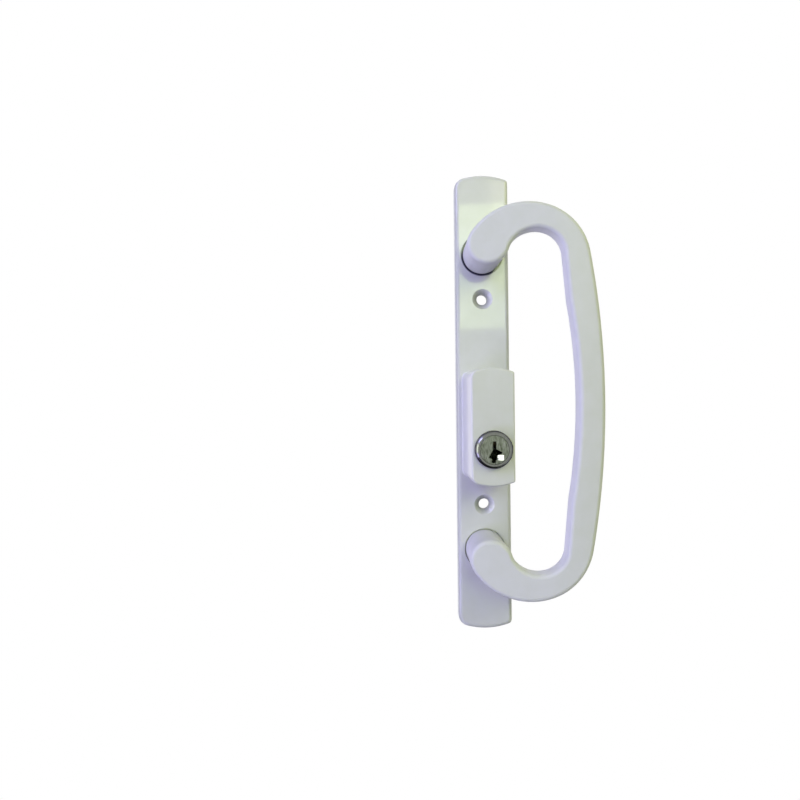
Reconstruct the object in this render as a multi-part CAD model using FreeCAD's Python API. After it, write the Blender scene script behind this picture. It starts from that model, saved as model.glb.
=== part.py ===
import FreeCAD, Part
import math
import os

from FreeCAD import Vector

os.makedirs("parts", exist_ok=True)

# Outside handle of a sliding patio door: a long cast plate with a lock housing, an offset bow pull on two
# posts, and a five-pin key cylinder that turns a tailpiece inside the door.
#
# X points to the right and Z up along the door, and Y points into it. The origin is on the door face,
# midway between the two mounting holes. Heights are measured outwards from the door: a point at height h
# has Y = -h. Lengths are in millimetres and angles in degrees.

# Plate
PLATE_LENGTH = 221.0
PLATE_WIDTH = 26.0
PLATE_THICKNESS = 5.5
PLATE_END_RISE = 2.6  # the arched ends stand out this far beyond the plate's corners
PLATE_CORNER_RADIUS = 2.2  # on the pull's side
PLATE_FREE_CORNER_RADIUS = 5.4  # on the side away from the pull
PLATE_EDGE_RADIUS = 2.0
PLATE_RIM = 2.4  # rim round the recessed back
PLATE_SKIN = 2.6  # metal between the recess and the front

# Mounting screw holes
SCREW_SPACING = 100.0
SCREW_HOLE_DIAMETER = 5.2
SCREW_SINK_DIAMETER = 9.8
SCREW_BOSS_WALL = 3.4

# Lock housing, cast in one piece with the plate
FRONT_HEIGHT = 38.0  # fronts of the housing and of the pull's grip
CYLINDER_DROP = 20.7  # key cylinder's axis below the origin
HOUSING_ABOVE_AXIS = 36.4
HOUSING_BELOW_AXIS = 17.0
HOUSING_SIDE_WALL = 1.9
HOUSING_WALL = 2.2  # front and top walls
HOUSING_DRAFT = 0.7  # each side leans in this far from foot to front
HOUSING_END_RISE = 2.2
HOUSING_CORNER_RADIUS = 1.2  # on the pull's side
HOUSING_FREE_CORNER_RADIUS = 3.6  # on the side away from the pull
HOUSING_EDGE_RADIUS = 0.8
HOUSING_FOOT_RADIUS = 0.7
RIB_THICKNESS = 2.0

# Pull
POST_SPACING = 143.0
POST_DIAMETER = 18.8  # also the round ends of the bar above the posts
POST_NECK = 0.15  # the post's radius is smaller by this where it runs into the bar
POST_SEAT_DEPTH = 1.3  # round seat in the plate that takes the post's foot
POST_SEAT_GAP = 0.65  # open joint round the foot
PULL_END_DROP = 7.5  # the bar's front over the post's axis lies this far below the grip's front
ARM_BEND_RADIUS = 120.0  # the arms lean up from the posts and bend level at the grip
BOW_RISE = 17.7  # top of the bow above the post's axis
BOW_RADIUS = 28.4
BAR_WIDTH = 12.3  # across the bar at the top of the bow
BAR_DEPTH = 12.0
ARCH_RADIUS = 12.2  # inside of the bow
ARCH_LEAN = 5.0  # the arch runs out into a line that leans outwards
GRIP_RADIUS = 380.0  # long outer curve of the grip
FINGER_RECESS = 3.7
KNUCKLE_SPACING = 88.0
KNUCKLE_RADIUS = 28.0
BAR_FRONT_RADIUS = 1.8
BAR_BACK_RADIUS = 4.0

# Screws that hold the pull from behind
PULL_SCREW_DIAMETER = 4.8
PULL_SCREW_HEAD_DIAMETER = 9.4
PULL_SCREW_BITE = 12.0  # length inside the post
PULL_SCREW_TIP = 2.0  # hole beyond the screw's end
PULL_SCREW_BOSS_WALL = 7.2
DRIVE_WIDTH = 1.1  # arms of the cross recess
DRIVE_SHARE = 0.55  # reach of the recess across the head
DRIVE_DEPTH = 1.2

# Key cylinder
PLUG_DIAMETER = 12.7
BARREL_WALL = 1.8
BARREL_PROUD = 3.0  # collar in front of the housing
COLLAR_BEVEL_WIDTH = 1.0
COLLAR_BEVEL_HEIGHT = 0.9
PLUG_EDGE_CHAMFER = 0.15
PIN_DIAMETER = 2.86
PIN_PITCH = 3.96
PIN_END_MARGIN = 3.0  # from the first and last pin to the ends of the pin block
KEY_PIN_LENGTHS = (5.2, 4.1, 5.7, 4.6, 3.8)
KEY_PIN_TIP_HEIGHT = 0.9
KEY_PIN_TIP_RADIUS = 0.5
DRIVER_LENGTH = 3.4
DRIVER_CHAMFER = 0.3
SPRING_LENGTH = 4.2
SPRING_WIRE = 0.36
SPRING_HALF_TURNS = 6
CHAMBER_WALL = 2.5
COVER_THICKNESS = 1.0
COVER_LAP = 0.6  # cover strip beyond the pin holes on each side

# Keyway, measured from the cylinder's axis
KEYWAY_TOP = 3.4
KEYWAY_BOTTOM = -5.8
KEYWAY_HALF_WIDTH = 0.55  # upper slot
KEYWAY_FOOT_HALF_WIDTH = 0.95  # lower slot
KEYWAY_FOOT_SHIFT = 0.4  # the lower slot stands this far to the left
KEYWAY_SHOULDER = 0.45  # where the slot starts to widen into its two grooves
KEYWAY_WARD_REACH = 3.4  # right-hand groove
KEYWAY_WARD_TIP = -1.1
KEYWAY_WARD_BOTTOM = -2.3
KEYWAY_NOTCH_REACH = 2.5  # left-hand groove
KEYWAY_NOTCH_TIP = -3.0
KEYWAY_NOTCH_BOTTOM = -3.9
KEYWAY_BLUNT = 0.4  # flat ends of the grooves
KEYWAY_LEAD_START = 1.3  # slanted lead-in below the right-hand groove
KEYWAY_LEAD_REACH = 3.9
KEYWAY_LEAD_BOTTOM = -4.4
KEYWAY_LEAD_DEPTH = 2.1
KEYWAY_PIN_STOP = -1.0  # the pin chambers end here
KEYWAY_BLIND = 2.5  # closed length at the rear of the plug

# Plug retention and tailpiece
SHELL_TAIL = 1.0  # bore behind the pin block
CLIP_THICKNESS = 0.8
CLIP_LAP = 0.6  # clip beyond the bore
CLIP_GROOVE_DEPTH = 0.8
CLIP_MOUTH = 7.0
TAIL_BOSS_DIAMETER = 10.0
TAIL_BOSS_LENGTH = 4.6
TAIL_SLOT_DEPTH = 6.4
TAIL_WIDTH = 6.3
TAIL_THICKNESS = 1.6
TAIL_REACH = 34.0  # behind the door face
TAIL_CORNER_RADIUS = 1.4
CROSS_PIN_DIAMETER = 1.5
CROSS_PIN_SETBACK = 2.2  # from the rear of the boss

# Retaining plate of the cylinder
RETAINER_THICKNESS = 1.2
RETAINER_MARGIN = 4.0  # plate beyond its screws
RETAINER_CORNER_RADIUS = 3.0
RETAINER_SCREW_DIAMETER = 2.4
RETAINER_HEAD_DIAMETER = 4.6
RETAINER_HEAD_HEIGHT = 1.2
RETAINER_SCREW_BITE = 6.0
RETAINER_LOWER_GAP = 3.0  # from the barrel's seat down to the lower screw
RETAINER_UPPER_GAP = 6.5  # from the pin block up to the upper screw
RETAINER_BOSS_WALL = 2.0
WEB_THICKNESS = 2.4

# Clearances, each on one side
RUNNING_CLEARANCE = 0.05
PIN_CLEARANCE = 0.05
SEAT_CLEARANCE = 0.1
THREAD_CLEARANCE = 0.02
SCREW_CLEARANCE = 0.35
CLIP_CLEARANCE = 0.08
SWING_CLEARANCE = 0.4  # round what turns with the plug
OVERCUT = 1.0  # cutting solids run this far past the faces that they open
ROUND_SHARE = 0.4  # a rounded edge takes at most this share of its wall
UPRIGHT_SHARE = 0.9  # an edge counts as upright if it rises by this share of its length
TOUCH = 1e-4  # places closer than this are the same

# Values that several pieces share
RECESS_DEPTH = PLATE_THICKNESS - PLATE_SKIN
AXIS_Z = -CYLINDER_DROP
PLUG_RADIUS = PLUG_DIAMETER / 2
BORE_RADIUS = PLUG_RADIUS + RUNNING_CLEARANCE
BARREL_RADIUS = BORE_RADIUS + BARREL_WALL
BARREL_SEAT_RADIUS = BARREL_RADIUS + SEAT_CLEARANCE
HOUSING_HALF_WIDTH = BARREL_SEAT_RADIUS + HOUSING_SIDE_WALL
CAVITY_TOP_HEIGHT = FRONT_HEIGHT - HOUSING_WALL
COLLAR_HEIGHT = FRONT_HEIGHT + BARREL_PROUD
PIN_RADIUS = PIN_DIAMETER / 2
CHAMBER_RADIUS = PIN_RADIUS + PIN_CLEARANCE
PIN_COUNT = len(KEY_PIN_LENGTHS)
PIN_ROW_LENGTH = (PIN_COUNT - 1) * PIN_PITCH
BLOCK_HALF_WIDTH = CHAMBER_RADIUS + CHAMBER_WALL
BLOCK_FRONT = CAVITY_TOP_HEIGHT
BLOCK_REAR = BLOCK_FRONT - PIN_ROW_LENGTH - 2 * PIN_END_MARGIN
DRIVER_BOTTOM = BORE_RADIUS
SPRING_BOTTOM = DRIVER_BOTTOM + DRIVER_LENGTH
COVER_BOTTOM = SPRING_BOTTOM + SPRING_LENGTH
BLOCK_TOP = COVER_BOTTOM + COVER_THICKNESS
COVER_HALF_WIDTH = CHAMBER_RADIUS + COVER_LAP
KEY_PIN_TOP = math.sqrt(PLUG_RADIUS**2 - PIN_RADIUS**2)
BORE_END = BLOCK_REAR - SHELL_TAIL
CLIP_FRONT = BORE_END - CLIP_CLEARANCE
CLIP_RADIUS = BORE_RADIUS + CLIP_LAP
TAIL_BOSS_REAR = BORE_END - TAIL_BOSS_LENGTH
CROSS_PIN_HEIGHT = TAIL_BOSS_REAR + CROSS_PIN_SETBACK
CROSS_PIN_RADIUS = CROSS_PIN_DIAMETER / 2
RETAINER_LOWER_Z = AXIS_Z - BARREL_SEAT_RADIUS - RETAINER_LOWER_GAP
RETAINER_UPPER_Z = AXIS_Z + BLOCK_TOP + RETAINER_UPPER_GAP
RETAINER_SCREW_PLACES = (RETAINER_LOWER_Z, RETAINER_UPPER_Z)
MOUNTING_PLACES = (-SCREW_SPACING / 2, SCREW_SPACING / 2)
POST_PLACES = (-POST_SPACING / 2, POST_SPACING / 2)
PULL_END_HEIGHT = FRONT_HEIGHT - PULL_END_DROP
POST_RADIUS = POST_DIAMETER / 2 - POST_NECK
POST_FOOT_HEIGHT = PLATE_THICKNESS - POST_SEAT_DEPTH
PIN_HEIGHTS = [BLOCK_FRONT - PIN_END_MARGIN - i * PIN_PITCH for i in range(PIN_COUNT)]


def point(x, height, z):
    """A point at a height above the door face."""
    return Vector(x, -height, z)


def segment(start, end, height=0.0):
    """A straight edge between two (x, z) places."""
    return Part.LineSegment(point(start[0], height, start[1]), point(end[0], height, end[1])).toShape()


def around(centre, radius, angle):
    """The (x, z) place on a circle, with the angle counted from +X towards +Z."""
    return centre[0] + radius * math.cos(angle), centre[1] + radius * math.sin(angle)


def arc(centre, radius, start, end, height=0.0):
    """An edge on a circle between two angles."""
    places = [around(centre, radius, angle) for angle in (start, (start + end) / 2, end)]
    return Part.Arc(*[point(x, height, z) for x, z in places]).toShape()


def heading(start, end):
    """Angle of the direction from one (x, z) place to another."""
    return math.atan2(end[1] - start[1], end[0] - start[0])


def prism(edges, low, high):
    """A closed outline drawn on the door face, raised between two heights."""
    face = Part.Face(Part.Wire(Part.__sortEdges__(edges)))
    face.translate(Vector(0, -low, 0))
    return face.extrude(Vector(0, low - high, 0))


def rod(radius, low, high, x=0.0, z=0.0):
    """A cylinder that stands on the door face."""
    return Part.makeCylinder(radius, high - low, point(x, low, z), Vector(0, -1, 0))


def cone(low_radius, high_radius, low, high, x=0.0, z=0.0):
    """A cone that stands on the door face."""
    return Part.makeCone(low_radius, high_radius, high - low, point(x, low, z), Vector(0, -1, 0))


def block(x_low, x_high, low, high, z_low, z_high):
    """A box between two heights."""
    return Part.makeBox(x_high - x_low, high - low, z_high - z_low, point(x_low, high, z_low))


def edges_at(shape, height):
    """The edges that lie level at one height."""
    found = []
    for edge in shape.Edges:
        box = edge.BoundBox
        if abs(box.YMin + height) < TOUCH and abs(box.YMax + height) < TOUCH:
            found.append(edge)
    return found


def upright_edges(shape):
    """The edges that run from the foot of a raised outline to its front."""
    return [edge for edge in shape.Edges if edge.BoundBox.YLength > UPRIGHT_SHARE * edge.Length]


def round_corners(shape, pull_side_radius, free_side_radius):
    """Rounds the upright corners of a raised outline, with a radius for each side of the plate."""
    right = [edge for edge in upright_edges(shape) if edge.CenterOfMass.x > 0]
    shape = shape.makeFillet(pull_side_radius, right)
    left = [edge for edge in upright_edges(shape) if edge.BoundBox.XMax < 0]
    return shape.makeFillet(free_side_radius, left)


def arched_outline(half_width, bottom, top, end_radius, height=0.0):
    """Two straight sides closed by two shallow arcs, whose middles lie at bottom and top."""
    lean = math.asin(half_width / end_radius)
    rise = end_radius * (1 - math.cos(lean))
    right_angle = math.pi / 2
    return [
        segment((half_width, bottom + rise), (half_width, top - rise), height),
        arc((0, top - end_radius), end_radius, right_angle - lean, right_angle + lean, height),
        segment((-half_width, top - rise), (-half_width, bottom + rise), height),
        arc((0, bottom + end_radius), end_radius, -right_angle - lean, -right_angle + lean, height),
    ]


def end_radius(half_width, rise):
    """Radius of an arc that rises this far over its chord."""
    return (half_width**2 + rise**2) / (2 * rise)


PLATE_END_RADIUS = end_radius(PLATE_WIDTH / 2, PLATE_END_RISE)
HOUSING_END_RADIUS = end_radius(HOUSING_HALF_WIDTH, HOUSING_END_RISE)
HOUSING_TOP_Z = AXIS_Z + HOUSING_ABOVE_AXIS
HOUSING_BOTTOM_Z = AXIS_Z - HOUSING_BELOW_AXIS


def plate_outline(inset):
    """The plate's outline, moved in on all sides."""
    reach = PLATE_LENGTH / 2 - inset
    return arched_outline(PLATE_WIDTH / 2 - inset, -reach, reach, PLATE_END_RADIUS - inset)


def housing_outline(inset, height):
    """The lock housing's outline at a height, moved in on all sides."""
    return arched_outline(
        HOUSING_HALF_WIDTH - inset,
        HOUSING_BOTTOM_Z + inset,
        HOUSING_TOP_Z - inset,
        HOUSING_END_RADIUS - inset,
        height,
    )


def housing_cavity():
    """The U-shaped hollow behind the housing, with the ribs and the screw boss that stand in it."""
    half_width = BARREL_SEAT_RADIUS
    top = HOUSING_TOP_Z - HOUSING_DRAFT - HOUSING_WALL
    radius = HOUSING_END_RADIUS - HOUSING_WALL
    lean = math.asin(half_width / radius)
    shoulder = top - radius * (1 - math.cos(lean))
    edges = [
        arc((0, AXIS_Z), half_width, math.pi, 2 * math.pi),
        segment((half_width, AXIS_Z), (half_width, shoulder)),
        arc((0, top - radius), radius, math.pi / 2 - lean, math.pi / 2 + lean),
        segment((-half_width, shoulder), (-half_width, AXIS_Z)),
    ]
    hollow = prism(edges, -OVERCUT, CAVITY_TOP_HEIGHT)
    rib_middle = AXIS_Z + (BARREL_RADIUS + BLOCK_TOP) / 2
    rib_inner = BLOCK_HALF_WIDTH + SEAT_CLEARANCE
    rib_low = rib_middle - RIB_THICKNESS / 2
    rib_high = rib_middle + RIB_THICKNESS / 2
    right_rib = block(rib_inner, half_width + OVERCUT, RECESS_DEPTH, FRONT_HEIGHT, rib_low, rib_high)
    left_rib = block(-half_width - OVERCUT, -rib_inner, RECESS_DEPTH, FRONT_HEIGHT, rib_low, rib_high)
    boss_radius = RETAINER_SCREW_DIAMETER / 2 + RETAINER_BOSS_WALL
    boss = rod(boss_radius, RECESS_DEPTH, FRONT_HEIGHT, 0, RETAINER_UPPER_Z)
    web_half = WEB_THICKNESS / 2
    web = block(-web_half, web_half, RECESS_DEPTH, FRONT_HEIGHT, RETAINER_UPPER_Z, top + OVERCUT)
    return hollow.cut([right_rib, left_rib, boss, web])


def make_escutcheon():
    """Plate and lock housing as one casting, hollow at the back."""
    plate = prism(plate_outline(0), 0, PLATE_THICKNESS)
    plate = round_corners(plate, PLATE_CORNER_RADIUS, PLATE_FREE_CORNER_RADIUS)
    edge_radius = min(PLATE_EDGE_RADIUS, ROUND_SHARE * PLATE_THICKNESS)
    plate = plate.makeFillet(edge_radius, edges_at(plate, PLATE_THICKNESS))

    foot = Part.Wire(housing_outline(0, RECESS_DEPTH))
    front = Part.Wire(housing_outline(HOUSING_DRAFT, FRONT_HEIGHT))
    housing = Part.makeLoft([foot, front], True, True)
    housing = round_corners(housing, HOUSING_CORNER_RADIUS, HOUSING_FREE_CORNER_RADIUS)
    housing = housing.makeFillet(HOUSING_EDGE_RADIUS, edges_at(housing, FRONT_HEIGHT))
    casting = plate.fuse(housing).removeSplitter()
    foot_low = HOUSING_BOTTOM_Z - OVERCUT
    foot_high = HOUSING_TOP_Z + OVERCUT
    foot_edges = [
        edge
        for edge in edges_at(casting, PLATE_THICKNESS)
        if edge.BoundBox.ZMin > foot_low and edge.BoundBox.ZMax < foot_high
    ]
    casting = casting.makeFillet(HOUSING_FOOT_RADIUS, foot_edges)

    recess = prism(plate_outline(PLATE_RIM), -OVERCUT, RECESS_DEPTH)
    free_corners = [edge for edge in upright_edges(recess) if edge.CenterOfMass.x < 0]
    recess = recess.makeFillet(PLATE_FREE_CORNER_RADIUS - PLATE_RIM, free_corners)
    screw_boss_radius = SCREW_HOLE_DIAMETER / 2 + SCREW_BOSS_WALL
    pull_hole_radius = PULL_SCREW_DIAMETER / 2 + SCREW_CLEARANCE
    pull_boss_radius = pull_hole_radius + PULL_SCREW_BOSS_WALL
    bosses = [rod(screw_boss_radius, -2 * OVERCUT, RECESS_DEPTH, 0, z) for z in MOUNTING_PLACES]
    bosses += [rod(pull_boss_radius, -2 * OVERCUT, RECESS_DEPTH, 0, z) for z in POST_PLACES]
    cuts = [recess.cut(bosses), housing_cavity()]
    cuts.append(rod(BARREL_SEAT_RADIUS, RECESS_DEPTH, FRONT_HEIGHT + OVERCUT, 0, AXIS_Z))

    hole_radius = SCREW_HOLE_DIAMETER / 2
    sink_radius = SCREW_SINK_DIAMETER / 2
    sink_low = PLATE_THICKNESS - (sink_radius - hole_radius)
    for z in MOUNTING_PLACES:
        cuts.append(rod(hole_radius, -OVERCUT, PLATE_THICKNESS + OVERCUT, 0, z))
        cuts.append(cone(hole_radius, sink_radius, sink_low, PLATE_THICKNESS, 0, z))
    head_radius = PULL_SCREW_HEAD_DIAMETER / 2 + SCREW_CLEARANCE
    seat_radius = POST_RADIUS + POST_SEAT_GAP
    for z in POST_PLACES:
        cuts.append(rod(pull_hole_radius, -OVERCUT, PLATE_THICKNESS + OVERCUT, 0, z))
        cuts.append(cone(head_radius, pull_hole_radius, 0, head_radius - pull_hole_radius, 0, z))
        cuts.append(rod(seat_radius, POST_FOOT_HEIGHT, PLATE_THICKNESS + OVERCUT, 0, z))
    pilot_radius = RETAINER_SCREW_DIAMETER / 2 + THREAD_CLEARANCE
    pilot_end = RECESS_DEPTH + RETAINER_SCREW_BITE + OVERCUT
    for z in RETAINER_SCREW_PLACES:
        cuts.append(rod(pilot_radius, -OVERCUT, pilot_end, 0, z))
    return casting.cut(cuts)


def pull_outline():
    """The pull seen from the front: a bow of tangent arcs, symmetric about the middle of its grip."""
    end_circle = POST_DIAMETER / 2
    post = (0.0, POST_SPACING / 2)
    bow_top = post[1] + BOW_RISE
    bow_z = bow_top - BOW_RADIUS
    bow = (math.sqrt((BOW_RADIUS - end_circle) ** 2 - (post[1] - bow_z) ** 2), bow_z)
    grip = (bow[0] - math.sqrt((GRIP_RADIUS - BOW_RADIUS) ** 2 - bow_z**2), 0.0)
    arch_z = bow_top - BAR_WIDTH - ARCH_RADIUS
    arch = (math.sqrt((ARCH_RADIUS + end_circle) ** 2 - (post[1] - arch_z) ** 2), arch_z)
    lean = math.radians(ARCH_LEAN)
    arch_end = around(arch, ARCH_RADIUS, lean)

    # The finger recess is an arc over the chord between the knuckles, which lie on the leaning lines
    half_chord = KNUCKLE_SPACING / 2
    corner_x = arch_end[0] + (arch_end[1] - half_chord) * math.tan(lean)
    recess_radius = end_radius(half_chord, FINGER_RECESS)
    recess = (corner_x + FINGER_RECESS - recess_radius, 0.0)

    # Each knuckle rounds its corner: its centre moves along the line until it touches the recess
    start = around(arch, ARCH_RADIUS + KNUCKLE_RADIUS, lean)
    away = (start[0] - recess[0], start[1] - recess[1])
    towards = away[1] * math.cos(lean) - away[0] * math.sin(lean)
    touching = recess_radius + KNUCKLE_RADIUS
    run = towards - math.sqrt(towards**2 - math.hypot(*away) ** 2 + touching**2)
    knuckle = (start[0] + run * math.sin(lean), start[1] - run * math.cos(lean))
    line_end = around(knuckle, KNUCKLE_RADIUS, math.pi + lean)

    grip_angle = heading(grip, bow)
    bow_end = heading(bow, post)
    end_turn = heading(post, arch) + 2 * math.pi
    recess_angle = heading(recess, knuckle)
    upper = [
        arc(bow, BOW_RADIUS, grip_angle, bow_end),
        arc(post, end_circle, bow_end, end_turn),
        arc(arch, ARCH_RADIUS, heading(arch, post), lean),
        segment(arch_end, line_end),
        arc(knuckle, KNUCKLE_RADIUS, math.pi + lean, math.pi + recess_angle),
    ]
    lower = [edge.mirror(Vector(0, 0, 0), Vector(0, 0, 1)) for edge in upper]
    middle = [
        arc(grip, GRIP_RADIUS, -grip_angle, grip_angle),
        arc(recess, recess_radius, -recess_angle, recess_angle),
    ]
    outer_x = grip[0] + GRIP_RADIUS
    grip_width = outer_x - (corner_x + FINGER_RECESS)
    return upper + lower + middle, outer_x, grip_width


def arm_lean(outer_x):
    """Angle of the arms: straight from the post, tangent to the bend that ends level at the grip's edge."""
    bend_drop = ARM_BEND_RADIUS - PULL_END_DROP
    return math.asin(ARM_BEND_RADIUS / math.hypot(outer_x, bend_drop)) - math.atan2(bend_drop, outer_x)


def leaning_edges(outer_x, drop):
    """The bar's front line seen along Z, lowered by a drop: leaning arm, bend, and a level end."""
    lean = arm_lean(outer_x)
    end_x = -POST_DIAMETER / 2 - OVERCUT
    far_x = outer_x + OVERCUT
    top = FRONT_HEIGHT - drop
    bend_low = top - ARM_BEND_RADIUS
    on_bend = [
        point(outer_x - ARM_BEND_RADIUS * math.sin(angle), bend_low + ARM_BEND_RADIUS * math.cos(angle), 0)
        for angle in (lean, lean / 2, 0)
    ]
    start = point(end_x, PULL_END_HEIGHT - drop + end_x * math.tan(lean), 0)
    far = point(far_x, top, 0)
    return [
        Part.LineSegment(start, on_bend[0]).toShape(),
        Part.Arc(*on_bend).toShape(),
        Part.LineSegment(on_bend[2], far).toShape(),
    ]


def leaning_slab(outer_x):
    """The space between the bar's front and its back, which runs parallel to it."""
    front = leaning_edges(outer_x, 0)
    back = leaning_edges(outer_x, BAR_DEPTH)
    sides = [
        Part.LineSegment(front[0].Vertexes[0].Point, back[0].Vertexes[0].Point).toShape(),
        Part.LineSegment(front[2].Vertexes[1].Point, back[2].Vertexes[1].Point).toShape(),
    ]
    face = Part.Face(Part.Wire(Part.__sortEdges__(front + back + sides)))
    reach = POST_SPACING / 2 + BOW_RISE + OVERCUT
    face.translate(Vector(0, 0, -reach))
    return face.extrude(Vector(0, 0, 2 * reach))


def rim_edges(bar, outer_x, drop):
    """The edges where the bar's walls meet its front, or its back, which lies lower by the bar's depth."""
    lines = leaning_edges(outer_x, drop)
    found = []
    for edge in bar.Edges:
        middle = edge.valueAt((edge.FirstParameter + edge.LastParameter) / 2)
        level = Part.Vertex(Vector(middle.x, middle.y, 0))
        on_line = min(level.distToShape(line)[0] for line in lines) < TOUCH
        walls = [face for face in bar.ancestorsOfType(edge, Part.Face) if is_wall(face)]
        if on_line and walls:
            found.append(edge)
    return found


def is_wall(face):
    """Whether a face stands upright on the door."""
    u_low, u_high, v_low, v_high = face.ParameterRange
    return abs(face.normalAt((u_low + u_high) / 2, (v_low + v_high) / 2).y) < TOUCH


def make_pull():
    """The bow bar with its two posts, tapped from behind."""
    edges, outer_x, grip_width = pull_outline()
    bar = prism(edges, 0, FRONT_HEIGHT + OVERCUT).common(leaning_slab(outer_x))
    widest_round = ROUND_SHARE * grip_width
    bar = bar.makeFillet(min(BAR_FRONT_RADIUS, widest_round), rim_edges(bar, outer_x, 0))
    bar = bar.makeFillet(min(BAR_BACK_RADIUS, widest_round), rim_edges(bar, outer_x, BAR_DEPTH))
    neck_height = PULL_END_HEIGHT - BAR_DEPTH / 2
    posts = [rod(POST_RADIUS, POST_FOOT_HEIGHT, neck_height, 0, z) for z in POST_PLACES]
    hole_radius = PULL_SCREW_DIAMETER / 2 + THREAD_CLEARANCE
    hole_end = POST_FOOT_HEIGHT + PULL_SCREW_BITE + PULL_SCREW_TIP
    holes = [rod(hole_radius, POST_FOOT_HEIGHT - OVERCUT, hole_end, 0, z) for z in POST_PLACES]
    return bar.fuse(posts).removeSplitter().cut(holes)


def cross_recess(head_diameter, low, z):
    """The cross-shaped driver recess in the head of a screw that is turned from behind."""
    half_reach = DRIVE_SHARE * head_diameter / 2
    half_width = DRIVE_WIDTH / 2
    start = low - OVERCUT
    floor = low + DRIVE_DEPTH
    level = block(-half_reach, half_reach, start, floor, z - half_width, z + half_width)
    standing = block(-half_width, half_width, start, floor, z - half_reach, z + half_reach)
    return level.fuse(standing)


def make_pull_screws():
    """Two flat-head screws, flush with the back of the plate."""
    head_radius = PULL_SCREW_HEAD_DIAMETER / 2
    shank_radius = PULL_SCREW_DIAMETER / 2
    screws = []
    for z in POST_PLACES:
        head = cone(head_radius, shank_radius, 0, head_radius - shank_radius, 0, z)
        shank = rod(shank_radius, 0, POST_FOOT_HEIGHT + PULL_SCREW_BITE, 0, z)
        drive = cross_recess(PULL_SCREW_HEAD_DIAMETER, 0, z)
        screws.append(head.fuse(shank).removeSplitter().cut(drive))
    return Part.makeCompound(screws)


def make_cylinder_shell():
    """Barrel with a bevelled collar in front and the pin block on top."""
    bevel_low = COLLAR_HEIGHT - COLLAR_BEVEL_HEIGHT
    barrel = rod(BARREL_RADIUS, RECESS_DEPTH, bevel_low, 0, AXIS_Z)
    bevel = cone(BARREL_RADIUS, BARREL_RADIUS - COLLAR_BEVEL_WIDTH, bevel_low, COLLAR_HEIGHT, 0, AXIS_Z)
    pin_block = block(
        -BLOCK_HALF_WIDTH, BLOCK_HALF_WIDTH, BLOCK_REAR, BLOCK_FRONT, AXIS_Z, AXIS_Z + BLOCK_TOP
    )
    shell = barrel.fuse([bevel, pin_block]).removeSplitter()
    tail_room = CLIP_RADIUS + SWING_CLEARANCE
    cuts = [
        rod(BORE_RADIUS, RECESS_DEPTH - OVERCUT, COLLAR_HEIGHT + OVERCUT, 0, AXIS_Z),
        rod(tail_room, RECESS_DEPTH - OVERCUT, BORE_END, 0, AXIS_Z),
        block(
            -COVER_HALF_WIDTH,
            COVER_HALF_WIDTH,
            BLOCK_REAR - OVERCUT,
            BLOCK_FRONT + OVERCUT,
            AXIS_Z + COVER_BOTTOM,
            AXIS_Z + BLOCK_TOP + OVERCUT,
        ),
    ]
    for height in PIN_HEIGHTS:
        cuts.append(upright_rod(CHAMBER_RADIUS, height, 0, BLOCK_TOP))
    return shell.cut(cuts)


def upright_rod(radius, height, low, high):
    """A cylinder along Z above the cylinder's axis, between two distances from it."""
    return Part.makeCylinder(radius, high - low, point(0, height, AXIS_Z + low), Vector(0, 0, 1))


def upright_cone(low_radius, high_radius, height, low, high):
    """A cone along Z above the cylinder's axis, between two distances from it."""
    foot = point(0, height, AXIS_Z + low)
    return Part.makeCone(low_radius, high_radius, high - low, foot, Vector(0, 0, 1))


def make_chamber_cover():
    """Strip that closes the pin chambers."""
    half_width = COVER_HALF_WIDTH - PIN_CLEARANCE
    low = AXIS_Z + COVER_BOTTOM
    return block(-half_width, half_width, BLOCK_REAR, BLOCK_FRONT, low, low + COVER_THICKNESS)


def keyway_outline():
    """The keyway seen from the front: a slot with a groove on each side, lower slot shifted to the left."""
    half = KEYWAY_HALF_WIDTH
    foot_right = KEYWAY_FOOT_HALF_WIDTH - KEYWAY_FOOT_SHIFT
    foot_left = -KEYWAY_FOOT_HALF_WIDTH - KEYWAY_FOOT_SHIFT
    top_z = KEYWAY_TOP - half
    foot_z = KEYWAY_BOTTOM + KEYWAY_FOOT_HALF_WIDTH
    left_side = [
        (-half, top_z),
        (-half, KEYWAY_SHOULDER),
        (-KEYWAY_NOTCH_REACH, KEYWAY_NOTCH_TIP),
        (-KEYWAY_NOTCH_REACH, KEYWAY_NOTCH_TIP - KEYWAY_BLUNT),
        (foot_left, KEYWAY_NOTCH_BOTTOM),
        (foot_left, foot_z),
    ]
    right_side = [
        (foot_right, foot_z),
        (foot_right, KEYWAY_LEAD_BOTTOM),
        (KEYWAY_LEAD_START, KEYWAY_LEAD_BOTTOM),
        (KEYWAY_LEAD_START, KEYWAY_WARD_BOTTOM),
        (KEYWAY_WARD_REACH, KEYWAY_WARD_TIP - KEYWAY_BLUNT),
        (KEYWAY_WARD_REACH, KEYWAY_WARD_TIP),
        (half, KEYWAY_SHOULDER),
        (half, top_z),
    ]
    edges = [
        arc((0, AXIS_Z + top_z), half, 0, math.pi),
        arc((-KEYWAY_FOOT_SHIFT, AXIS_Z + foot_z), KEYWAY_FOOT_HALF_WIDTH, math.pi, 2 * math.pi),
    ]
    for side in (left_side, right_side):
        places = [(x, AXIS_Z + z) for x, z in side]
        edges += [segment(start, end) for start, end in zip(places, places[1:])]
    return edges


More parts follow.
